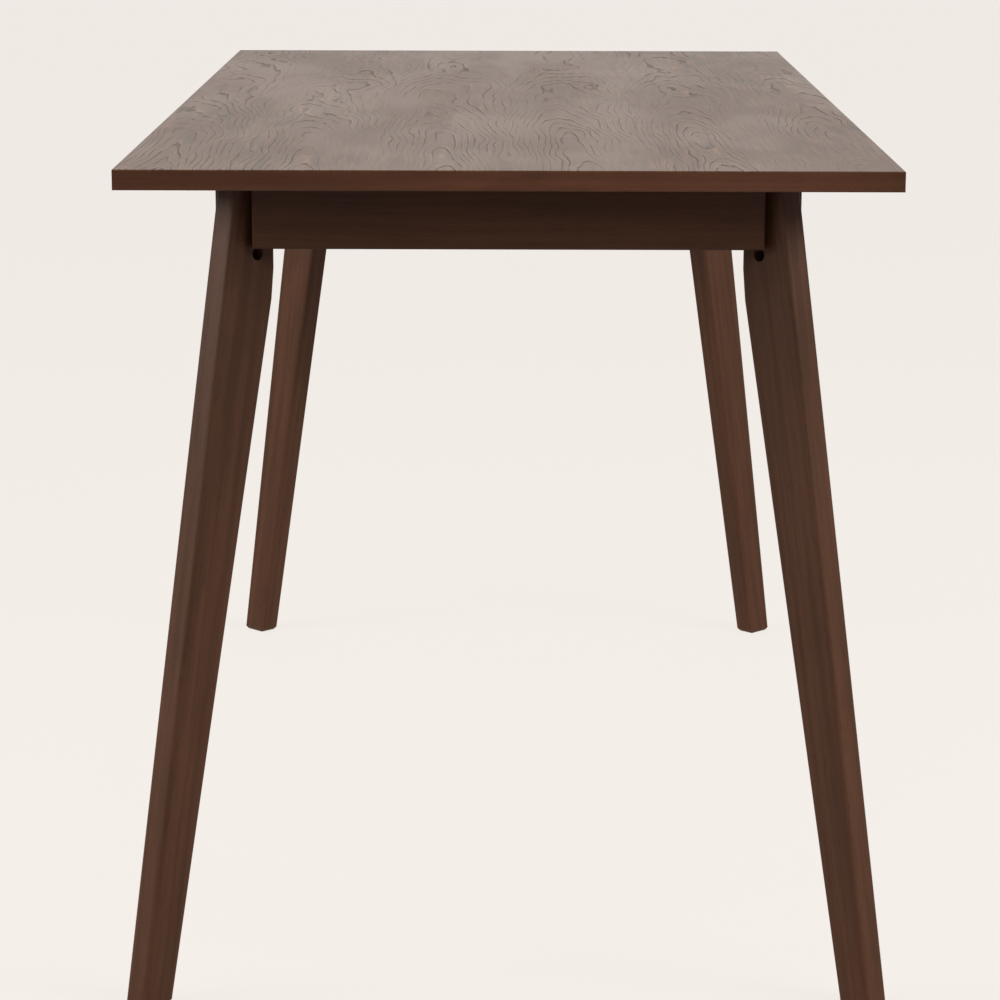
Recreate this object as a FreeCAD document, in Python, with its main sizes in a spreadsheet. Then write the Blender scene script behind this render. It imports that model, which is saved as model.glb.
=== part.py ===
import FreeCAD, Part
import math
import os
import Sketcher

# A dining table with four splayed board legs, built as the real one is: a veneered top with mitred lippings,
# an apron frame, a corner block behind each leg with two bolts and barrel nuts, and a centre rail.
# +Z is up, the table's length runs along Y, the front is towards -Y, and the floor is z = 0.
# Sizes are in millimetres.

SIZES = {
    # The whole table
    "table_length": 1372,
    "table_width": 686,
    "table_height": 762,
    # Top: a core between two veneers, with four lippings round the core
    "top_thickness": 18,
    "veneer_thickness": 1,
    "veneer_arris": 0.8,
    "lipping_width": 6,
    # Legs: boards in the corners' diagonal planes; the insets are those of the outer edge's middle
    "leg_end_inset": 76,
    "leg_side_inset": 93,
    "leg_thickness": 28,
    "leg_top_width": 44,
    "leg_splay": 125,
    "leg_edge_radius": 5,
    "knee_drop": 95,
    "knee_ease": 14,
    "foot_width": 35,
    "foot_edge_chamfer": 3.5,
    # Aprons
    "apron_height": 59.5,
    "apron_thickness": 18,
    "apron_proud": 2.6,
    "apron_bearing": 2.65,
    "apron_chamfer": 1.5,
    # Corner blocks
    "block_depth": 45,
    "block_height": 54,
    # Leg bolts, washers and barrel nuts
    "bolt_diameter": 6,
    "bolt_head_across": 10,
    "bolt_head_height": 4,
    "bolt_overrun": 5,
    "bolt_clearance": 0.25,
    "bolt_drop": 15,
    "bolt_pitch": 25.5,
    "washer_diameter": 12,
    "washer_thickness": 1.6,
    "barrel_diameter": 12,
    "barrel_length": 16,
    "barrel_setback": 21,
    # Centre rail, let into the long aprons
    "rail_width": 60,
    "rail_height": 20,
    "housing_depth": 6,
    # Angle brackets between aprons and top
    "bracket_leg": 25,
    "bracket_width": 20,
    "bracket_thickness": 2,
    "bracket_spread": 300,
    # Fits
    "fit_clearance": 0.1,
}

NEAR = 1e-4
QUARTER = 90

doc = FreeCAD.newDocument("DiningTable")
dims = doc.addObject("Spreadsheet::Sheet", "Dims")
for row, (alias, size) in enumerate(SIZES.items(), 1):
    dims.set(f"A{row}", alias)
    dims.set(f"B{row}", str(size))
    dims.setAlias(f"B{row}", alias)
doc.recompute()


def text(formula):
    """The expression for a formula that names sizes without their sheet."""
    words = []
    word = ""
    for letter in formula + " ":
        if letter.isalnum() or letter == "_":
            word += letter
            continue
        words.append(f"Dims.{word}" if word in SIZES else word)
        words.append(letter)
        word = ""
    return "".join(words).strip()


# Formulas that several pieces share. A leg's own frame has its origin on the middle of the outer edge at
# the underside of the top, x inwards along the corner's diagonal and z up.
UNDERSIDE = "(table_height - top_thickness)"
LEG_X = "(table_width / 2 - leg_side_inset)"
LEG_Y = "(table_length / 2 - leg_end_inset)"
HALF_LEG = "(leg_thickness / 2)"
APRON_OUT = "(leg_thickness * sqrt(0.125) + apron_proud)"
APRON_BACK = f"({APRON_OUT} - apron_thickness)"
APRON_END = f"({APRON_BACK} - leg_thickness * sqrt(0.5) + apron_bearing)"
BLOCK_END = "(leg_top_width + block_depth)"
BARREL_AT = "(leg_top_width - barrel_setback)"
BOLT_LENGTH = "(block_depth + washer_thickness + barrel_setback + bolt_overrun)"
BOLT_HOLE = "(bolt_diameter + 2 * bolt_clearance)"
CORE_THICKNESS = "(top_thickness - 2 * veneer_thickness)"
SECOND_BOLT = "(bolt_drop + bolt_pitch)"
SPARE_BORE = "(bolt_drop + 2 * bolt_pitch)"

CORNERS = {
    "front_left": (-1, -1),
    "front_right": (1, -1),
    "back_left": (-1, 1),
    "back_right": (1, 1),
}


def value(formula):
    return float(dims.evalExpression(text(formula)))


def bind(item, **formulas):
    """Ties properties to formulas; a double underscore stands for the dot in a property's path."""
    for path, formula in formulas.items():
        item.setExpression(path.replace("__", "."), text(formula))


def place(item, x, y, z, rotation=FreeCAD.Rotation()):
    item.Placement = FreeCAD.Placement(FreeCAD.Vector(value(x), value(y), value(z)), rotation)
    bind(item, Placement__Base__x=x, Placement__Base__y=y, Placement__Base__z=z)


def turn(degrees):
    return FreeCAD.Rotation(FreeCAD.Vector(0, 0, 1), degrees)


def facing(x, y):
    """Turns a fastener, whose shank points up, so that it points along a level direction."""
    return FreeCAD.Rotation(FreeCAD.Vector(0, 0, 1), FreeCAD.Vector(x, y, 0))


def new_body(name):
    body = doc.addObject("PartDesign::Body", name)
    body.Label = name
    return body


def new_sketch(body, name, role, height="0"):
    """A sketch on one of the body's origin planes, moved along the plane's normal."""
    plane = next(item for item in body.Origin.OriginFeatures if item.Role == role)
    sketch = body.newObject("Sketcher::SketchObject", f"{body.Name}_{name}")
    sketch.AttachmentSupport = (plane, [""])
    sketch.MapMode = "FlatFace"
    sketch.AttachmentOffset = FreeCAD.Placement(FreeCAD.Vector(0, 0, value(height)), FreeCAD.Rotation())
    bind(sketch, AttachmentOffset__Base__z=height)
    return sketch


def pin_point(sketch, element, vertex, x, y):
    for axis, kind, formula in (("x", "DistanceX", x), ("y", "DistanceY", y)):
        rule = Sketcher.Constraint(kind, -1, 1, element, vertex, value(formula))
        name = f"{axis}{element}"
        sketch.renameConstraint(sketch.addConstraint(rule), name)
        bind(sketch, **{f"Constraints__{name}": formula})


def draw_outline(sketch, points):
    """A closed outline of straight lines through points given as pairs of formulas."""
    corners = [FreeCAD.Vector(value(x), value(y), 0) for x, y in points]
    count = len(points)
    for i in range(count):
        sketch.addGeometry(Part.LineSegment(corners[i], corners[(i + 1) % count]), False)
    for i in range(count):
        sketch.addConstraint(Sketcher.Constraint("Coincident", i, 2, (i + 1) % count, 1))
    for i, (x, y) in enumerate(points):
        pin_point(sketch, i, 1, x, y)


def draw_circles(sketch, centres, diameter):
    for i, (x, y) in enumerate(centres):
        middle = FreeCAD.Vector(value(x), value(y), 0)
        sketch.addGeometry(Part.Circle(middle, FreeCAD.Vector(0, 0, 1), value(diameter) / 2), False)
        pin_point(sketch, i, 3, x, y)
        rule = Sketcher.Constraint("Diameter", i, value(diameter))
        sketch.renameConstraint(sketch.addConstraint(rule), f"d{i}")
        bind(sketch, **{f"Constraints__d{i}": diameter})


def pad(body, sketch, length, down=False, both_ways=False):
    feature = body.newObject("PartDesign::Pad", f"{sketch.Name}_pad")
    feature.Profile = sketch
    feature.Reversed = down
    feature.SideType = "Symmetric" if both_ways else "One side"
    bind(feature, Length=length)
    doc.recompute()


def pocket(body, sketch, depth=None, forwards=False):
    """Cuts the sketch into the body, against the sketch's normal unless forwards.

    Without a depth it cuts right through."""
    before = body.Shape.Volume
    feature = body.newObject("PartDesign::Pocket", f"{sketch.Name}_cut")
    feature.Profile = sketch
    feature.Reversed = forwards
    if depth is None:
        feature.Type = "ThroughAll"
    else:
        bind(feature, Length=depth)
    doc.recompute()
    if body.Shape.Volume > before - NEAR:
        raise RuntimeError(f"{feature.Name} cuts nothing")


def drill(body, name, role, centres, diameter, height="0", depth=None, forwards=False):
    sketch = new_sketch(body, name, role, height)
    draw_circles(sketch, centres, diameter)
    pocket(body, sketch, depth, forwards)


def lies_at(edge, axis, formula):
    return all(abs(getattr(end.Point, axis) - value(formula)) < NEAR for end in edge.Vertexes)


def picked(body, wanted):
    """The edges of the body's latest shape that the wanted function picks, as a feature's base."""
    names = [f"Edge{i}" for i, edge in enumerate(body.Tip.Shape.Edges, 1) if wanted(edge)]
    return body.Tip, names


def fillet(body, name, radius, wanted):
    base = picked(body, wanted)
    feature = body.newObject("PartDesign::Fillet", f"{body.Name}_{name}")
    feature.Base = base
    bind(feature, Radius=radius)
    doc.recompute()


def chamfer(body, name, size, wanted):
    base = picked(body, wanted)
    feature = body.newObject("PartDesign::Chamfer", f"{body.Name}_{name}")
    feature.Base = base
    bind(feature, Size=size)
    doc.recompute()


def draw_rectangle(sketch, left, right, low, high):
    draw_outline(sketch, [(left, low), (right, low), (right, high), (left, high)])


def slab(name, half_x, half_y, thickness, down=False):
    """A rectangular board centred on its own origin."""
    body = new_body(name)
    sketch = new_sketch(body, "outline", "XY_Plane")
    draw_rectangle(sketch, f"-{half_x}", half_x, f"-{half_y}", half_y)
    pad(body, sketch, thickness, down)
    return body


def at_corner(sx, sy, inwards, to_end, drop):
    """Formulas for a point given from the middle of a leg's outer edge at the underside of the top.

    It lies inwards along the diagonal, across towards the table's end, and down."""
    x = f"{sx} * ({LEG_X} - ({inwards} + {to_end}) * sqrt(0.5))"
    y = f"{sy} * ({LEG_Y} - ({inwards} - {to_end}) * sqrt(0.5))"
    return x, y, f"{UNDERSIDE} - {drop}"


def group(name, master, places):
    """One node of separate like solids: copies of the master, each with its place and rotation."""
    copies = []
    for i, (point, rotation) in enumerate(places, 1):
        copy = doc.addObject("App::Link", f"{name}_{i}")
        copy.LinkedObject = master
        place(copy, *point, rotation)
        copies.append(copy)
    node = doc.addObject("Part::Compound", name)
    node.Label = name
    node.Links = copies
    return node


# Top

def make_core():
    half_x = "(table_width / 2 - lipping_width)"
    half_y = "(table_length / 2 - lipping_width)"
    body = slab("top_core", half_x, half_y, CORE_THICKNESS)
    place(body, "0", "0", f"{UNDERSIDE} + veneer_thickness")
    return body


def make_veneers():
    half_x = "(table_width / 2)"
    half_y = "(table_length / 2)"
    face = slab("top_face_veneer", half_x, half_y, "veneer_thickness")
    fillet(face, "arris", "veneer_arris", lambda edge: lies_at(edge, "z", "veneer_thickness"))
    place(face, "0", "0", "table_height - veneer_thickness")
    back = slab("top_back_veneer", half_x, half_y, "veneer_thickness")
    place(back, "0", "0", UNDERSIDE)
    return [face, back]


def make_lipping(name, length, x, y, degrees):
    """A solid edge strip with mitred ends; its outer face is y = 0 in its own frame."""
    body = new_body(name)
    sketch = new_sketch(body, "outline", "XY_Plane")
    draw_outline(
        sketch,
        [
            (f"-{length} / 2", "0"),
            (f"-{length} / 2 + lipping_width", "-lipping_width"),
            (f"{length} / 2 - lipping_width", "-lipping_width"),
            (f"{length} / 2", "0"),
        ],
    )
    pad(body, sketch, CORE_THICKNESS)
    place(body, x, y, f"{UNDERSIDE} + veneer_thickness", turn(degrees))
    return body


def make_lippings():
    return [
        make_lipping("lipping_front", "table_width", "0", "-table_length / 2", 2 * QUARTER),
        make_lipping("lipping_back", "table_width", "0", "table_length / 2", 0),
        make_lipping("lipping_left", "table_length", "-table_width / 2", "0", QUARTER),
        make_lipping("lipping_right", "table_length", "table_width / 2", "0", -QUARTER),
    ]


# Apron frame

def make_apron(name, leg_place, x, y, degrees):
    """An apron board; its outer face is y = 0 and its top edge z = 0 in its own frame.

    The square ends have their back corners planed off to bear on the broad faces of the legs."""
    half = f"({leg_place} + {APRON_END})"
    body = new_body(name)
    sketch = new_sketch(body, "outline", "XY_Plane")
    draw_outline(
        sketch,
        [
            (f"-{half}", "0"),
            (f"-{half}", "apron_bearing - apron_thickness"),
            (f"apron_bearing - {half}", "-apron_thickness"),
            (f"{half} - apron_bearing", "-apron_thickness"),
            (half, "apron_bearing - apron_thickness"),
            (half, "0"),
        ],
    )
    pad(body, sketch, "apron_height", down=True)
    chamfer(
        body,
        "arrises",
        "apron_chamfer",
        lambda edge: lies_at(edge, "y", "0") and not lies_at(edge, "z", "0"),
    )
    place(body, x, y, UNDERSIDE, turn(degrees))
    return body


def make_aprons():
    short_y = f"({LEG_Y} + {APRON_OUT})"
    long_x = f"({LEG_X} + {APRON_OUT})"
    short = [
        make_apron("short_apron_front", LEG_X, "0", f"-{short_y}", 2 * QUARTER),
        make_apron("short_apron_back", LEG_X, "0", short_y, 0),
    ]
    long = [
        make_apron("long_apron_left", LEG_Y, f"-{long_x}", "0", QUARTER),
        make_apron("long_apron_right", LEG_Y, long_x, "0", -QUARTER),
    ]
    for body in long:
        sketch = new_sketch(body, "housing", "XZ_Plane", "apron_thickness")
        half = "(rail_width / 2 + fit_clearance)"
        draw_rectangle(sketch, f"-{half}", half, "-rail_height - fit_clearance", "fit_clearance")
        pocket(body, sketch, "housing_depth")
    return short + long


def make_rail():
    """The flat centre rail under the top; its ends sit in the housings of the long aprons."""
    half = f"({LEG_X} + {APRON_BACK} + housing_depth - fit_clearance)"
    body = slab("cross_rail", half, "(rail_width / 2)", "rail_height", down=True)
    place(body, "0", "0", UNDERSIDE)
    return body


def bolt_centres():
    return [("0", "-bolt_drop"), ("0", f"-{SECOND_BOLT}")]


def make_block(name, sx, sy):
    """A corner block: its outer face takes the leg's inner edge, and its slanting sides lie on the aprons."""
    near = f"(leg_top_width + sqrt(2) * {APRON_BACK})"
    far = f"({BLOCK_END} + sqrt(2) * {APRON_BACK})"
    body = new_body(name)
    sketch = new_sketch(body, "outline", "XY_Plane")
    draw_outline(
        sketch,
        [("leg_top_width", f"-{near}"), (BLOCK_END, f"-{far}"), (BLOCK_END, far), ("leg_top_width", near)],
    )
    pad(body, sketch, "block_height", down=True)
    drill(body, "bolt_holes", "YZ_Plane", bolt_centres(), BOLT_HOLE, height=BLOCK_END)
    place(body, *at_corner(sx, sy, "0", "0", "0"), inwards_turn(sx, sy))
    return body


# Legs

def inwards_turn(sx, sy):
    """Turns x to point inwards along the corner's diagonal."""
    return turn(math.degrees(math.atan2(-sy, -sx)))


def make_leg(name, sx, sy):
    """A leg sawn from one board.

    Its outer edge is straight and splays outwards. Its inner edge stands upright down to the eased knee,
    where the board is widest, and then tapers to the foot."""
    drop = UNDERSIDE
    taper = f"(leg_top_width + leg_splay - foot_width) / ({drop} - knee_drop)"
    eased_width = f"leg_top_width - {taper} * knee_ease"
    body = new_body(name)
    sketch = new_sketch(body, "outline", "XZ_Plane")
    draw_outline(
        sketch,
        [
            ("0", "0"),
            ("leg_top_width", "0"),
            ("leg_top_width", "knee_ease - knee_drop"),
            (eased_width, "-knee_drop - knee_ease"),
            ("foot_width - leg_splay", f"-{drop}"),
            ("-leg_splay", f"-{drop}"),
        ],
    )
    pad(body, sketch, "leg_thickness", both_ways=True)
    fillet(
        body,
        "long_edges",
        "leg_edge_radius",
        lambda edge: (lies_at(edge, "y", HALF_LEG) or lies_at(edge, "y", f"-{HALF_LEG}"))
        and not lies_at(edge, "z", "0")
        and not lies_at(edge, "z", f"-{drop}"),
    )
    chamfer(body, "foot_edges", "foot_edge_chamfer", lambda edge: lies_at(edge, "z", f"-{drop}"))
    side = -sx * sy
    bores = [(BARREL_AT, f"-{down}") for down in ("bolt_drop", SECOND_BOLT, SPARE_BORE)]
    drill(
        body,
        "barrel_bores",
        "XZ_Plane",
        bores,
        "barrel_diameter + 2 * fit_clearance",
        height=f"{-side} * {HALF_LEG}",
        depth=f"{HALF_LEG} + barrel_length / 2",
        forwards=side > 0,
    )
    drill(
        body,
        "bolt_holes",
        "YZ_Plane",
        bolt_centres(),
        BOLT_HOLE,
        height="leg_top_width",
        depth="barrel_setback",
    )
    place(body, *at_corner(sx, sy, "0", "0", "0"), inwards_turn(sx, sy))
    return body


# Fasteners and brackets. The copies of each share one node.

def make_leg_bolt():
    """A hex-head leg bolt with its seat at z = 0 and its shank pointing up."""
    body = new_body("leg_bolt")
    head = new_sketch(body, "head", "XY_Plane")
    point = "bolt_head_across / sqrt(3)"
    flat = "bolt_head_across / sqrt(12)"
    half = "bolt_head_across / 2"
    draw_outline(
        head,
        [
            (point, "0"),
            (flat, half),
            (f"-{flat}", half),
            (f"-{point}", "0"),
            (f"-{flat}", f"-{half}"),
            (flat, f"-{half}"),
        ],
    )
    pad(body, head, "bolt_head_height", down=True)
    shank = new_sketch(body, "shank", "XY_Plane")
    draw_circles(shank, [("0", "0")], "bolt_diameter")
    pad(body, shank, BOLT_LENGTH)
    return body


def make_washer():
    body = new_body("leg_bolt_washer")
    disc = new_sketch(body, "disc", "XY_Plane")
    draw_circles(disc, [("0", "0")], "washer_diameter")
    pad(body, disc, "washer_thickness")
    drill(body, "hole", "XY_Plane", [("0", "0")], BOLT_HOLE, forwards=True)
    return body


def make_barrel_nut():
    """A barrel nut, centred on its own origin and cross-drilled for the bolt along x."""
    body = new_body("barrel_nut")
    barrel = new_sketch(body, "barrel", "XY_Plane")
    draw_circles(barrel, [("0", "0")], "barrel_diameter")
    pad(body, barrel, "barrel_length", both_ways=True)
    cross_hole = "bolt_diameter + 2 * fit_clearance"
    drill(body, "cross_hole", "YZ_Plane", [("0", "0")], cross_hole, height="barrel_diameter / 2")
    return body


def make_bracket():
    """An angle bracket: its outer corner is the origin; one leg hangs down and one reaches towards -X."""
    body = new_body("top_bracket")
    sketch = new_sketch(body, "outline", "XZ_Plane")
    draw_outline(
        sketch,
        [
            ("0", "0"),
            ("0", "-bracket_leg"),
            ("-bracket_thickness", "-bracket_leg"),
            ("-bracket_thickness", "-bracket_thickness"),
            ("-bracket_leg", "-bracket_thickness"),
            ("-bracket_leg", "0"),
        ],
    )
    pad(body, sketch, "bracket_width", both_ways=True)
    inside = "-bracket_thickness"
    fillet(
        body,
        "bend",
        "bracket_thickness",
        lambda edge: lies_at(edge, "x", inside) and lies_at(edge, "z", inside),
    )
    return body


def make_leg_fasteners():
    """Bolts and washers against the corner blocks, and the barrel nuts that they draw on in the legs."""
    bolt_places = []
    nut_places = []
    for sx, sy in CORNERS.values():
        inwards = FreeCAD.Vector(-sx, -sy, 0)
        to_end = FreeCAD.Vector(-sx, sy, 0)
        nut_turn = FreeCAD.Rotation(inwards, to_end.cross(inwards), to_end, "ZXY")
        for drop in ("bolt_drop", SECOND_BOLT):
            seat = at_corner(sx, sy, f"({BLOCK_END} + washer_thickness)", "0", drop)
            bolt_places.append((seat, facing(sx, sy)))
            nut_places.append((at_corner(sx, sy, BARREL_AT, "0", drop), nut_turn))
    return [
        group("leg_bolts", make_leg_bolt(), bolt_places),
        group("leg_bolt_washers", make_washer(), bolt_places),
        group("barrel_nuts", make_barrel_nut(), nut_places),
    ]


def make_brackets():
    """Two brackets on each long apron and one on each short one hold the top down."""
    places = []
    side = f"({LEG_X} + {APRON_BACK})"
    end = f"({LEG_Y} + {APRON_BACK})"
    for sx in (-1, 1):
        for sy in (-1, 1):
            point = (f"{sx} * {side}", f"{sy} * bracket_spread", UNDERSIDE)
            places.append((point, turn(QUARTER - sx * QUARTER)))
    for sy in (-1, 1):
        places.append((("0", f"{sy} * {end}", UNDERSIDE), turn(sy * QUARTER)))
    return group("top_brackets", make_bracket(), places)


def check(nodes):
    for item in doc.Objects:
        if "Invalid" in item.State or "Error" in item.State:
            raise RuntimeError(f"{item.Name} does not compute")
    for node in nodes:
        if node.Shape.isNull() or not node.Shape.isValid():
            raise RuntimeError(f"{node.Label} has no valid shape")


nodes = [make_core()]
nodes += make_veneers()
nodes += make_lippings()
nodes += make_aprons()
nodes += [make_leg(f"leg_{corner}", sx, sy) for corner, (sx, sy) in CORNERS.items()]
nodes += [make_block(f"corner_block_{corner}", sx, sy) for corner, (sx, sy) in CORNERS.items()]
nodes.append(make_rail())
nodes += make_leg_fasteners()
nodes.append(make_brackets())
doc.recompute()
check(nodes)

os.makedirs("parts", exist_ok=True)
for node in nodes:
    node.Shape.exportStep(f"parts/{node.Label}.step")
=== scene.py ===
from math import atan2, cos, pi, radians, sin, sqrt

import bmesh
import bpy
from mathutils import Matrix, Vector


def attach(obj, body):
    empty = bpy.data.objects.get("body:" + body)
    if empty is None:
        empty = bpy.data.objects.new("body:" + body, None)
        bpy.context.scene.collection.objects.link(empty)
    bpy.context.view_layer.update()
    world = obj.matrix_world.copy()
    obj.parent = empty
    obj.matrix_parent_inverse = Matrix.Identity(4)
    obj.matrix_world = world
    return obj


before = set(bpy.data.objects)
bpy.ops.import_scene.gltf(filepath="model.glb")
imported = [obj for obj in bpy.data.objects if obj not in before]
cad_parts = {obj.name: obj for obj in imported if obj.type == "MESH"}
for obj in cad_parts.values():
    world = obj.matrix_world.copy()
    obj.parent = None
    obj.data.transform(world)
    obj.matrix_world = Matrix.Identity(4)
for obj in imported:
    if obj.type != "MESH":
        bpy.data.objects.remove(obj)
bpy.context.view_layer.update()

# Sizes of the table that its finish and its screws are laid out from, in metres
TOP_UNDERSIDE = 0.744
APRON_BACK_X = 0.2445
APRON_BACK_Y = 0.6045
LEG_X = 0.250
LEG_Y = 0.610
LEG_SPLAY = 0.125
KNEE_HEIGHT = 0.649
RAIL_UNDERSIDE = 0.724
RAIL_SCREW_X = 0.150
BLOCK_FACE = 0.089
BLOCK_SCREW_OFFSET = 0.055
BLOCK_SCREW_LEVELS = (0.704, 0.730)
BRACKET_SPREAD = 0.300
BRACKET_REACH = 0.0165
BRACKET_PLATE = 0.002

# A pan-head screw with a cross recess, in metres
HEAD_RADIUS = 0.0042
HEAD_HEIGHT = 0.0016
RECESS_ARM = 0.0024
RECESS_HALF_WIDTH = 0.00055

CORNERS = {"front_left": (-1, -1), "front_right": (1, -1), "back_left": (-1, 1), "back_right": (1, 1)}
ALONG_X = ((1, 0, 0), (0, 1, 0))
ALONG_Y = ((0, 1, 0), (1, 0, 0))

# Stains and finishes, and one painted highlight, linear RGB
VENEER_DARK = (0.066, 0.025, 0.0075)
VENEER_LIGHT = (0.128, 0.051, 0.0170)
VENEER_PORE = (0.020, 0.008, 0.0035)
# A painted highlight, the pale colour laid on the veneer's raised ridges and strokes
VENEER_PAINTED_HIGHLIGHT = (0.230, 0.105, 0.0450)
EDGE_DARK = (0.058, 0.021, 0.0110)
EDGE_LIGHT = (0.122, 0.046, 0.0240)
APRON_DARK = (0.043, 0.0168, 0.0082)
APRON_LIGHT = (0.075, 0.0286, 0.0136)
LEG_DARK = (0.061, 0.0257, 0.0136)
LEG_LIGHT = (0.110, 0.0464, 0.0247)
BACKING_DARK = (0.050, 0.022, 0.012)
BACKING_LIGHT = (0.085, 0.038, 0.022)
BARE_DARK = (0.300, 0.185, 0.095)
BARE_LIGHT = (0.480, 0.330, 0.190)
BOARD_DARK = (0.270, 0.190, 0.120)
BOARD_LIGHT = (0.400, 0.300, 0.200)
BOLT_BLACK = (0.055, 0.055, 0.060)
BOLT_WORN = (0.090, 0.085, 0.080)
ZINC = (0.62, 0.63, 0.64)
ZINC_WORN = (0.50, 0.51, 0.53)
YELLOW_ZINC = (0.60, 0.52, 0.30)
YELLOW_ZINC_WORN = (0.48, 0.44, 0.33)

# How much paler than the front ones each leg's stain is made, painted light for the back legs that the
# lamps light less
LEG_PAINTED_LIGHT = {"front_left": 1.0, "front_right": 1.0, "back_left": 1.14, "back_right": 1.10}
# Painted shade: the legs' stain darker up under the tabletop and paler towards the foot
LEG_PAINTED_SHADE = 0.6
SATIN_ROUGHNESS = (0.38, 0.50)
BARE_ROUGHNESS = (0.60, 0.75)
SATIN_SPECULAR = 0.18
FIBRE_RELIEF = 0.00012
FELT_RELIEF = 0.0002

# The veneer's leaves and the rings they are sliced through, in metres
LEAF_WIDTH = 0.125
LEAF_SLIP = 0.11
HEART_SWAY = 0.080
HEART_DEPTH = 0.022
HEART_TAPER = 0.048
HEART_RISE = 0.055
RING_PITCH = 0.0048
RING_SHIVER = 1.2
GRAIN_RELIEF = 0.0008

# The studio: light strengths, lamp powers in watts and places in metres
BACKDROP = (0.887, 0.839, 0.799)
SKY_ALL_ROUND = 0.342
SKY_LOBES = {"back": (0.780, (0, 1, 0.05)), "up": (0.083, (0, 0, 1))}
LOBE_EDGE = 0.20
LOBE_CORE = 0.95
FLOOR_REACH = 90.0
FLOOR_SEEN = 0.93
FLOOR_GLOW = 0.492
FLOOR_MATT = 0.10
LAMP_COLOUR = (1.0, 0.97, 0.93)
LAMP_SIDE = 1.2
LAMP_AIM = (0, -0.2, 0.4)
LAMPS = {
    "left_fore": (14.9, (-3.0, -3.4, 1.7)),
    "right_fore": (38.6, (3.0, -3.4, 2.4)),
    "left": (31.7, (-3.2, -1.8, 1.7)),
    "right": (64.5, (3.2, -1.8, 2.4)),
    "left_aft": (45.7, (-3.2, -0.7, 1.8)),
    "right_aft": (21.1, (3.2, -0.7, 2.6)),
}

# The camera, in millimetres, metres and degrees
LENS = 116.73
SENSOR = 36.0
CAMERA_PLACE = (-0.00105, -3.48171, 1.07425)
CAMERA_YAW = 0.117
CAMERA_DIP = 12.174
CAMERA_ROLL = 0.145
CAMERA_CLIP = 400.0


class Finish:
    """A procedural material, its nodes added by short calls."""

    def __init__(self, name):
        self.material = bpy.data.materials.new(name)
        self.material.use_nodes = True
        self.tree = self.material.node_tree
        self.tree.nodes.clear()
        self.output = self.add("ShaderNodeOutputMaterial")
        self.shader = self.add("ShaderNodeBsdfPrincipled")
        self.feed(self.output.inputs["Surface"], self.shader.outputs["BSDF"])

    def add(self, kind, **settings):
        node = self.tree.nodes.new(kind)
        for name, value in settings.items():
            setattr(node, name, value)
        return node

    def feed(self, socket, value):
        if isinstance(value, bpy.types.NodeSocket):
            self.tree.links.new(value, socket)
        else:
            socket.default_value = value

    def place(self, euler=(0, 0, 0), origin=(0, 0, 0)):
        """Coordinates in a piece's own frame, in metres."""
        there = self.add("ShaderNodeTexCoord")
        node = self.add("ShaderNodeMapping", vector_type="TEXTURE")
        self.feed(node.inputs["Vector"], there.outputs["Object"])
        node.inputs["Rotation"].default_value = euler
        node.inputs["Location"].default_value = origin
        return node.outputs["Vector"]

    def scaled(self, vector, scale, shift=(0, 0, 0)):
        node = self.add("ShaderNodeMapping")
        self.feed(node.inputs["Vector"], vector)
        node.inputs["Scale"].default_value = scale
        node.inputs["Location"].default_value = shift
        return node.outputs["Vector"]

    def split(self, vector):
        node = self.add("ShaderNodeSeparateXYZ")
        self.feed(node.inputs[0], vector)
        return node.outputs

    def join(self, x, y, z):
        node = self.add("ShaderNodeCombineXYZ")
        for socket, value in zip(node.inputs, (x, y, z)):
            self.feed(socket, value)
        return node.outputs[0]

    def shifted(self, vector, by):
        node = self.add("ShaderNodeVectorMath", operation="ADD")
        self.feed(node.inputs[0], vector)
        self.feed(node.inputs[1], by)
        return node.outputs[0]

    def math(self, operation, a, b=0.0, c=0.0):
        node = self.add("ShaderNodeMath", operation=operation)
        for socket, value in zip(node.inputs, (a, b, c)):
            self.feed(socket, value)
        return node.outputs[0]

    def times(self, a, b):
        return self.math("MULTIPLY", a, b)

    def plus(self, a, b):
        return self.math("ADD", a, b)

    def noise(self, vector, scale=1.0, detail=2.0, rough=0.5, warp=0.0):
        node = self.add("ShaderNodeTexNoise")
        self.feed(node.inputs["Vector"], vector)
        node.inputs["Scale"].default_value = scale
        node.inputs["Detail"].default_value = detail
        node.inputs["Roughness"].default_value = rough
        node.inputs["Distortion"].default_value = warp
        return node.outputs["Fac"]

    def span(self, value, low, high, to_low=0.0, to_high=1.0):
        """value's range low..high eased to to_low..to_high, held at the ends."""
        node = self.add("ShaderNodeMapRange", interpolation_type="SMOOTHSTEP")
        for socket, number in zip(node.inputs, (value, low, high, to_low, to_high)):
            self.feed(socket, number)
        return node.outputs[0]

    def blend(self, share, a, b):
        node = self.add("ShaderNodeMix", data_type="RGBA")
        self.feed(node.inputs[0], share)
        for socket, value in ((node.inputs[6], a), (node.inputs[7], b)):
            self.feed(socket, value if isinstance(value, bpy.types.NodeSocket) else (*value, 1.0))
        return node.outputs[2]

    def bump(self, height, depth):
        node = self.add("ShaderNodeBump")
        self.feed(node.inputs["Height"], height)
        node.inputs["Distance"].default_value = depth
        return node.outputs["Normal"]

    def set(self, **values):
        for name, value in values.items():
            self.feed(self.shader.inputs[name.replace("_", " ")], value)
        return self.material


def grain_frame(along, across):
    """The turn of a frame whose Y runs with the grain and whose X lies nearest to across."""
    y = Vector(along).normalized()
    z = Vector(across).cross(y).normalized()
    x = y.cross(z)
    return Matrix((x, y, z)).transposed().to_euler("XYZ")


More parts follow.
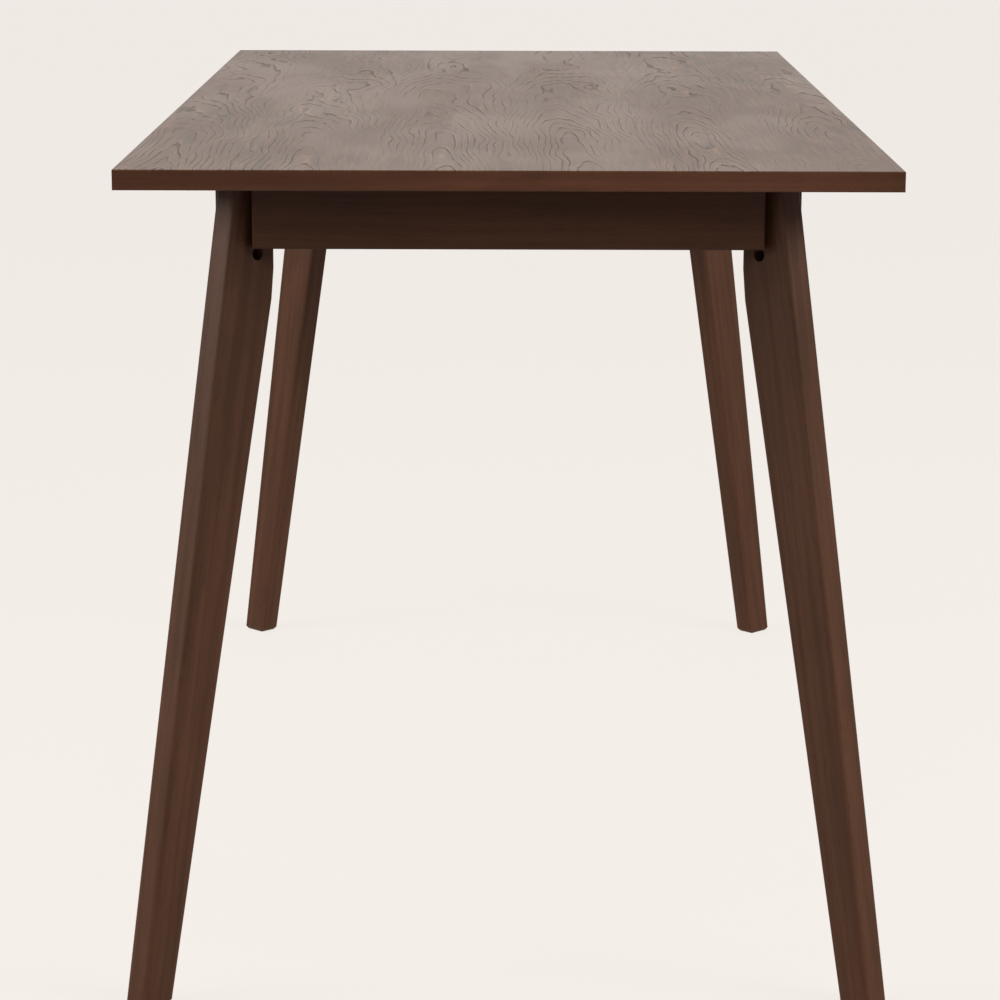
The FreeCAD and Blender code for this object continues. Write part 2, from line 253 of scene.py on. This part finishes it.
def straight_wood(name, along, across, origin, dark, light, streak=1.0, pores=0.35, rough=SATIN_ROUGHNESS,
                  painted_shade=0.0, cloudy=0.34):
    """Stained, straight-grained wood: growth streaks, fine fibres, short pores and a cloudy stain.

    fade makes it paler along the grain, painted shade that leaves the legs darker up under the tabletop,
    and cloudy is the share of the stain's clouds."""
    f = Finish(name)
    here = f.place(grain_frame(along, across), origin)
    sway = f.noise(f.scaled(here, (9, 2.5, 9)), detail=2)
    aside = f.math("MULTIPLY_ADD", sway, 0.020, -0.010)
    deeper = f.math("MULTIPLY_ADD", sway, 0.014, -0.007)
    bent = f.shifted(here, f.join(aside, 0.0, deeper))
    growth = f.noise(f.scaled(bent, (130, 2.2, 130)), detail=3, rough=0.55)
    fibre = f.noise(f.scaled(bent, (900, 14, 900)), detail=3, rough=0.6)
    pits = f.noise(f.scaled(bent, (1500, 55, 1500)), detail=1)
    cloud = f.noise(f.scaled(here, (14, 5, 14)), detail=3, rough=0.55, warp=0.6)
    pit = f.span(pits, 0.60, 0.74)

    tone = f.math("MULTIPLY_ADD", f.span(growth, 0.34, 0.66), 0.42 * streak, 0.10)
    tone = f.plus(tone, f.times(f.span(fibre, 0.30, 0.70), 0.16 * streak))
    tone = f.plus(tone, f.times(f.span(cloud, 0.30, 0.70), cloudy))
    # Painted shade: paler along the grain, darker where the grain starts
    tone = f.plus(tone, f.times(f.split(here)[1], painted_shade))
    pore_colour = tuple(0.35 * c for c in dark)
    colour = f.blend(f.times(pit, pores), f.blend(tone, dark, light), pore_colour)

    height = f.math("SUBTRACT", f.times(fibre, 0.35), f.times(pit, 0.65))
    gloss = f.span(f.plus(f.times(cloud, 0.6), f.times(fibre, 0.4)), 0.3, 0.7, *rough)
    relief = f.bump(height, FIBRE_RELIEF)
    return f.set(Base_Color=colour, Roughness=gloss, Specular_IOR_Level=SATIN_SPECULAR, Normal=relief)


def top_wood():
    """Crown-cut veneer laid in leaves side by side, its open grain pressed into the lacquer.

    The leaves are sliced one after another from one log, so each shows its neighbour's figure a little
    further in. The rings are circles round a heart that wanders and dips below the slice."""
    f = Finish("top_veneer")
    here = f.place()
    x, y, _ = f.split(here)
    number = f.math("FLOOR", f.math("DIVIDE", x, LEAF_WIDTH))
    middle = f.math("MULTIPLY_ADD", number, LEAF_WIDTH, LEAF_WIDTH / 2)
    from_middle = f.math("SUBTRACT", x, middle)
    sheet = f.join(from_middle, y, f.times(number, LEAF_SLIP))
    sway = f.noise(f.scaled(sheet, (6, 1.9, 1)), detail=3, rough=0.5)
    rise = f.noise(f.scaled(sheet, (8, 2.6, 1), (3.1, 0.7, 5.2)), detail=2, rough=0.5)
    side = f.plus(from_middle, f.math("MULTIPLY_ADD", sway, HEART_SWAY, -HEART_SWAY / 2))
    taper = f.math("MULTIPLY_ADD", y, HEART_TAPER, HEART_DEPTH)
    depth = f.math("MULTIPLY_ADD", rise, HEART_RISE, taper)
    radius = f.math("SQRT", f.plus(f.times(side, side), f.times(depth, depth)))
    shiver = f.noise(f.scaled(here, (70, 7, 1)), detail=2, rough=0.6)
    ring = f.plus(f.math("DIVIDE", radius, RING_PITCH), f.times(shiver, RING_SHIVER))
    part = f.math("FRACT", ring)

    # Each ring's dark open line, the raised band beside it with a painted highlight on it, and where along
    # the leaf they show
    late = f.times(f.span(part, 0.52, 0.74), f.span(part, 0.76, 0.84, 1.0, 0.0))
    crest_and_highlight = f.times(f.span(part, 0.80, 0.90), f.span(part, 0.92, 1.0, 1.0, 0.0))
    heart = f.span(f.math("ABSOLUTE", side), 0.012, 0.060, 0.9, 0.6)
    patches = f.noise(f.scaled(here, (12, 2.6, 1), (1.7, 4.2, 0)), detail=2)
    patch = f.span(patches, 0.40, 0.58, 0.26, 1.0)
    gaps = f.noise(f.scaled(here, (160, 12, 1)), detail=2)
    broken = f.span(gaps, 0.38, 0.56, 0.15, 1.0)
    shown = f.times(f.times(heart, patch), broken)
    line = f.times(late, shown)
    ridge_and_highlight = f.times(crest_and_highlight, shown)

    # Fine fibres, short pressed strokes between the rings, and raised strokes with a painted highlight on
    # them
    fibre = f.noise(f.scaled(here, (260, 5.0, 1)), detail=3, rough=0.65)
    stroke = f.noise(f.scaled(here, (190, 9.0, 1), (0.4, 3.3, 0)), detail=2, rough=0.65)
    hatching = f.noise(f.scaled(here, (9, 3.4, 1), (5.2, 0.9, 0)), detail=2)
    hatched = f.span(hatching, 0.40, 0.60, 0.25, 1.0)
    streak = f.times(f.span(stroke, 0.53, 0.63), hatched)
    raised_stroke_highlight = f.times(f.span(stroke, 0.47, 0.37), hatched)

    # The stain, cloudy and a little different from leaf to leaf
    cloud = f.noise(f.scaled(here, (11, 3.2, 1), (2.2, 1.3, 0)), detail=3, rough=0.55, warp=0.4)
    leaf = f.noise(f.join(f.times(number, 7.3), f.times(y, 2.4), 0.5), detail=1)
    tone = f.math("MULTIPLY_ADD", f.span(cloud, 0.32, 0.68), 0.34, 0.10)
    tone = f.plus(tone, f.times(f.span(fibre, 0.3, 0.7), 0.34))
    tone = f.plus(tone, f.times(f.span(leaf, 0.3, 0.7), 0.22))
    colour = f.blend(tone, VENEER_DARK, VENEER_LIGHT)
    # Ridges and raised strokes get the painted highlight, open lines and pressed strokes the dark pore
    # stain
    for mark, weight, stain in (
        (ridge_and_highlight, 0.90, VENEER_PAINTED_HIGHLIGHT), (raised_stroke_highlight, 0.32, VENEER_PAINTED_HIGHLIGHT),
        (line, 0.68, VENEER_PORE), (streak, 0.38, VENEER_PORE),
    ):
        colour = f.blend(f.times(mark, weight), colour, stain)

    height = f.math("SUBTRACT", f.times(ridge_and_highlight, 0.5), line)
    height = f.plus(height, f.times(f.math("SUBTRACT", raised_stroke_highlight, streak), 0.35))
    gloss = f.plus(f.span(cloud, 0.3, 0.7, 0.42, 0.36), f.times(line, 0.15))
    return f.set(Base_Color=colour, Roughness=gloss, Normal=f.bump(height, GRAIN_RELIEF))


def board(name):
    """Raw fibreboard, a felt of fine fibres."""
    f = Finish(name)
    here = f.place()
    fleck = f.noise(here, scale=900, detail=4, rough=0.7, warp=1.5)
    cloud = f.noise(here, scale=40, detail=3)
    tone = f.plus(f.times(f.span(fleck, 0.3, 0.7), 0.6), f.times(cloud, 0.4))
    colour = f.blend(tone, BOARD_DARK, BOARD_LIGHT)
    gloss = f.span(fleck, 0.3, 0.7, 0.80, 0.92)
    return f.set(Base_Color=colour, Roughness=gloss, Normal=f.bump(fleck, FELT_RELIEF))


def plated(name, colour, worn, rough, bite):
    """Plated steel with a faint mottle, fine drawing marks and dulled spots."""
    f = Finish(name)
    here = f.place()
    marks = f.noise(f.scaled(here, (900, 900, 140)), detail=3, rough=0.6)
    mottle = f.noise(here, scale=160, detail=3, rough=0.6, warp=0.8)
    tone = f.blend(f.span(mottle, 0.35, 0.70), colour, worn)
    gloss = f.plus(f.span(mottle, 0.3, 0.7, rough, rough + 0.12), f.times(marks, 0.10))
    return f.set(Base_Color=tone, Metallic=1.0, Roughness=gloss, Normal=f.bump(marks, bite))


def paint(node, material):
    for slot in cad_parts[node].material_slots:
        slot.material = material


# The finishes of the CAD nodes

paint("top_face_veneer", top_wood())
paint("top_core", board("board_core"))
paint("top_back_veneer", straight_wood("backing_veneer", *ALONG_Y, (0, 0, 0), BACKING_DARK, BACKING_LIGHT))
for side, (along, across) in {"front": ALONG_X, "back": ALONG_X, "left": ALONG_Y, "right": ALONG_Y}.items():
    start = (0.11 * len(side), 0.07 * ord(side[0]), 0)
    wood = straight_wood(f"edge_wood_{side}", along, across, start, EDGE_DARK, EDGE_LIGHT,
                         streak=0.6, pores=0.25, cloudy=0.48)
    paint(f"lipping_{side}", wood)
for node, (along, across) in {
    "short_apron_front": ALONG_X, "short_apron_back": ALONG_X,
    "long_apron_left": ALONG_Y, "long_apron_right": ALONG_Y,
}.items():
    start = (0.05 * len(node), 0.3, 0)
    paint(node, straight_wood(f"wood_{node}", along, across, start, APRON_DARK, APRON_LIGHT))
paint("cross_rail", straight_wood("wood_cross_rail", *ALONG_X, (0, 0, 0), BARE_DARK, BARE_LIGHT,
                                  rough=BARE_ROUGHNESS))
for corner, (sx, sy) in CORNERS.items():
    down = (sx * LEG_SPLAY * sqrt(0.5), sy * LEG_SPLAY * sqrt(0.5), -KNEE_HEIGHT)
    out = (sx, sy, 0)
    across = (sx, -sy, 0)
    start = (sx * LEG_X, sy * LEG_Y, 0)
    # The back legs get paler copies of the stain: painted light where the lamps reach them less
    stain = [tuple(LEG_PAINTED_LIGHT[corner] * c for c in colour) for colour in (LEG_DARK, LEG_LIGHT)]
    # Each leg is painted darker up under the tabletop, a painted shade
    paint(f"leg_{corner}", straight_wood(f"leg_wood_{corner}", down, across, start, *stain, painted_shade=LEG_PAINTED_SHADE))
    bare = (BARE_DARK, BARE_LIGHT)
    wood = straight_wood(f"block_wood_{corner}", across, out, start, *bare, rough=BARE_ROUGHNESS)
    paint(f"corner_block_{corner}", wood)

paint("leg_bolts", plated("bolt_steel", BOLT_BLACK, BOLT_WORN, 0.34, 0.00004))
zinc = plated("zinc_steel", ZINC, ZINC_WORN, 0.26, 0.00003)
for node in ("leg_bolt_washers", "barrel_nuts", "top_brackets"):
    paint(node, zinc)
screw_steel = plated("screw_steel", YELLOW_ZINC, YELLOW_ZINC_WORN, 0.28, 0.00003)


# The screw heads

def screw_head(name, seat, facing):
    """A pan head with a cross recess, standing on seat and facing along facing."""
    corner = atan2(RECESS_HALF_WIDTH, RECESS_ARM)
    steps = (-corner, 0, corner, 0.5, pi / 4, pi / 2 - 0.5)
    angles = [quarter * pi / 2 + step for quarter in range(4) for step in steps]

    def recess(angle):
        """The distance from the middle to the recess's wall."""
        a = abs((angle + pi / 4) % (pi / 2) - pi / 4)
        return RECESS_ARM / cos(a) if a <= corner + 1e-6 else RECESS_HALF_WIDTH / sin(a)

    def loop(reach, z):
        return [mesh.verts.new((reach(a) * cos(a), reach(a) * sin(a), z)) for a in angles]

    mesh = bmesh.new()
    dome = ((1.0, 0.0), (1.0, 0.25), (0.93, 0.62), (0.80, 0.88), (0.66, 1.0))
    loops = [loop(lambda a: wide * HEAD_RADIUS, high * HEAD_HEIGHT) for wide, high in dome]
    loops.append(loop(recess, HEAD_HEIGHT))
    loops.append(loop(lambda a: 0.55 * recess(a), 0.15 * HEAD_HEIGHT))
    for low, high in zip(loops, loops[1:]):
        for i in range(len(angles)):
            j = (i + 1) % len(angles)
            mesh.faces.new((low[i], low[j], high[j], high[i]))
    mesh.faces.new(loops[-1])
    mesh.faces.new(reversed(loops[0]))
    turn = Vector((0, 0, 1)).rotation_difference(Vector(facing)).to_matrix().to_4x4()
    mesh.transform(Matrix.Translation(seat) @ turn)
    data = bpy.data.meshes.new(name)
    mesh.to_mesh(data)
    mesh.free()
    data.materials.append(screw_steel)
    head = bpy.data.objects.new(name, data)
    bpy.context.scene.collection.objects.link(head)
    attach(head, "root")


def hand(sx):
    return "right" if sx > 0 else "left"


def end(sy):
    return "back" if sy > 0 else "front"


LOW = TOP_UNDERSIDE - BRACKET_REACH
HIGH = TOP_UNDERSIDE - BRACKET_PLATE
DOWNWARDS = (0, 0, -1)
for sx in (-1, 1):
    for sy in (-1, 1):
        name = f"bracket_screw_{hand(sx)}_{end(sy)}"
        y = sy * BRACKET_SPREAD
        screw_head(f"{name}_side", (sx * (APRON_BACK_X - BRACKET_PLATE), y, LOW), (-sx, 0, 0))
        screw_head(f"{name}_up", (sx * (APRON_BACK_X - BRACKET_REACH), y, HIGH), DOWNWARDS)
for sy in (-1, 1):
    name = f"bracket_screw_{end(sy)}_end"
    screw_head(f"{name}_side", (0, sy * (APRON_BACK_Y - BRACKET_PLATE), LOW), (0, -sy, 0))
    screw_head(f"{name}_up", (0, sy * (APRON_BACK_Y - BRACKET_REACH), HIGH), DOWNWARDS)
for corner, (sx, sy) in CORNERS.items():
    for side in (-1, 1):
        for level, z in enumerate(BLOCK_SCREW_LEVELS):
            inwards_x = (BLOCK_FACE + side * BLOCK_SCREW_OFFSET) * sqrt(0.5)
            inwards_y = (BLOCK_FACE - side * BLOCK_SCREW_OFFSET) * sqrt(0.5)
            seat = (sx * (LEG_X - inwards_x), sy * (LEG_Y - inwards_y), z)
            screw_head(f"block_screw_{corner}_{'end' if side > 0 else 'side'}_{level}", seat, (-sx, -sy, 0))
for sx in (-1, 1):
    screw_head(f"rail_screw_{hand(sx)}", (sx * RAIL_SCREW_X, 0, RAIL_UNDERSIDE), DOWNWARDS)


# The floor, the light and the camera

def shader_tree(owner, kind):
    owner.use_nodes = True
    owner.node_tree.nodes.clear()
    output = owner.node_tree.nodes.new(kind)
    return owner.node_tree, output


def seen_or_lit(tree, seen, lit, surface):
    """The camera sees one shader and the light comes from the other."""
    path = tree.nodes.new("ShaderNodeLightPath")
    mix = tree.nodes.new("ShaderNodeMixShader")
    tree.links.new(path.outputs["Is Camera Ray"], mix.inputs[0])
    tree.links.new(lit, mix.inputs[1])
    tree.links.new(seen, mix.inputs[2])
    tree.links.new(mix.outputs[0], surface)


def glow(tree, kind, strength):
    node = tree.nodes.new(kind)
    node.inputs["Color"].default_value = (*BACKDROP, 1.0)
    node.inputs["Strength"].default_value = strength
    return node


def stage_floor():
    """A plain pale floor that glows evenly and takes a faint shadow."""
    mesh = bmesh.new()
    corners = ((-1, -1), (1, -1), (1, 1), (-1, 1))
    mesh.faces.new([mesh.verts.new((FLOOR_REACH * x, FLOOR_REACH * y, 0)) for x, y in corners])
    data = bpy.data.meshes.new("floor")
    mesh.to_mesh(data)
    mesh.free()
    floor = bpy.data.objects.new("floor", data)
    bpy.context.scene.collection.objects.link(floor)
    material = bpy.data.materials.new("floor")
    tree, output = shader_tree(material, "ShaderNodeOutputMaterial")
    matt = tree.nodes.new("ShaderNodeBsdfDiffuse")
    matt.inputs["Color"].default_value = (*(FLOOR_MATT * c for c in BACKDROP), 1.0)
    both = tree.nodes.new("ShaderNodeAddShader")
    tree.links.new(glow(tree, "ShaderNodeEmission", FLOOR_SEEN).outputs[0], both.inputs[0])
    tree.links.new(matt.outputs[0], both.inputs[1])
    lit = glow(tree, "ShaderNodeEmission", FLOOR_GLOW)
    seen_or_lit(tree, both.outputs[0], lit.outputs[0], output.inputs["Surface"])
    data.materials.append(material)


def studio_sky():
    """Even light with broad, soft lobes, each round its own way."""
    world = bpy.data.worlds.new("studio")
    bpy.context.scene.world = world
    tree, output = shader_tree(world, "ShaderNodeOutputWorld")
    there = tree.nodes.new("ShaderNodeTexCoord").outputs["Generated"]
    total = None
    for strength, way in SKY_LOBES.values():
        along = tree.nodes.new("ShaderNodeVectorMath")
        along.operation = "DOT_PRODUCT"
        tree.links.new(there, along.inputs[0])
        along.inputs[1].default_value = Vector(way).normalized()
        lobe = tree.nodes.new("ShaderNodeMapRange")
        lobe.interpolation_type = "SMOOTHSTEP"
        tree.links.new(along.outputs["Value"], lobe.inputs[0])
        for socket, number in zip(lobe.inputs[1:5], (LOBE_EDGE, LOBE_CORE, 0.0, strength)):
            socket.default_value = number
        added = tree.nodes.new("ShaderNodeVectorMath")
        added.operation = "MULTIPLY_ADD"
        tree.links.new(lobe.outputs[0], added.inputs[0])
        added.inputs[1].default_value = BACKDROP
        if total:
            tree.links.new(total, added.inputs[2])
        else:
            added.inputs[2].default_value = [SKY_ALL_ROUND * c for c in BACKDROP]
        total = added.outputs[0]
    lit = glow(tree, "ShaderNodeBackground", 1.0)
    tree.links.new(total, lit.inputs["Color"])
    seen = glow(tree, "ShaderNodeBackground", 1.0)
    seen_or_lit(tree, seen.outputs[0], lit.outputs[0], output.inputs["Surface"])


def soft_lamp(name, power, place, receivers, mirrored):
    """A square lamp that lights the receivers and shows in their gloss only where mirrored is true."""
    data = bpy.data.lights.new(name, "AREA")
    data.shape = "RECTANGLE"
    data.size = LAMP_SIDE
    data.size_y = LAMP_SIDE
    data.energy = power
    data.color = LAMP_COLOUR
    lamp = bpy.data.objects.new(name, data)
    lamp.location = place
    lamp.rotation_euler = (Vector(LAMP_AIM) - Vector(place)).to_track_quat("-Z", "Y").to_euler()
    lamp.visible_camera = False
    lamp.visible_glossy = mirrored
    lamp.light_linking.receiver_collection = receivers
    bpy.context.scene.collection.objects.link(lamp)


def studio_lamps():
    """Each lamp twice: once for the tabletop, whose lacquer doesn't mirror it, and once for all else."""
    tabletop = bpy.data.collections.new("tabletop")
    tabletop.objects.link(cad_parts["top_face_veneer"])
    all_else = bpy.data.collections.new("all_else")
    all_else.objects.link(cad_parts["top_face_veneer"])
    all_else.collection_objects[0].light_linking.link_state = "EXCLUDE"
    for name, (power, place) in LAMPS.items():
        soft_lamp(f"lamp_{name}_tabletop", power, place, tabletop, mirrored=False)
        soft_lamp(f"lamp_{name}", power, place, all_else, mirrored=True)


def studio_camera():
    data = bpy.data.cameras.new("camera")
    data.lens = LENS
    data.sensor_width = SENSOR
    data.clip_end = CAMERA_CLIP
    camera = bpy.data.objects.new("camera", data)
    camera.matrix_world = (
        Matrix.Translation(CAMERA_PLACE)
        @ Matrix.Rotation(radians(CAMERA_YAW), 4, "Z")
        @ Matrix.Rotation(radians(90 - CAMERA_DIP), 4, "X")
        @ Matrix.Rotation(radians(CAMERA_ROLL), 4, "Z")
    )
    bpy.context.scene.collection.objects.link(camera)
    bpy.context.scene.camera = camera
    bpy.context.scene.view_settings.view_transform = "Standard"


stage_floor()
studio_sky()
studio_lamps()
studio_camera()
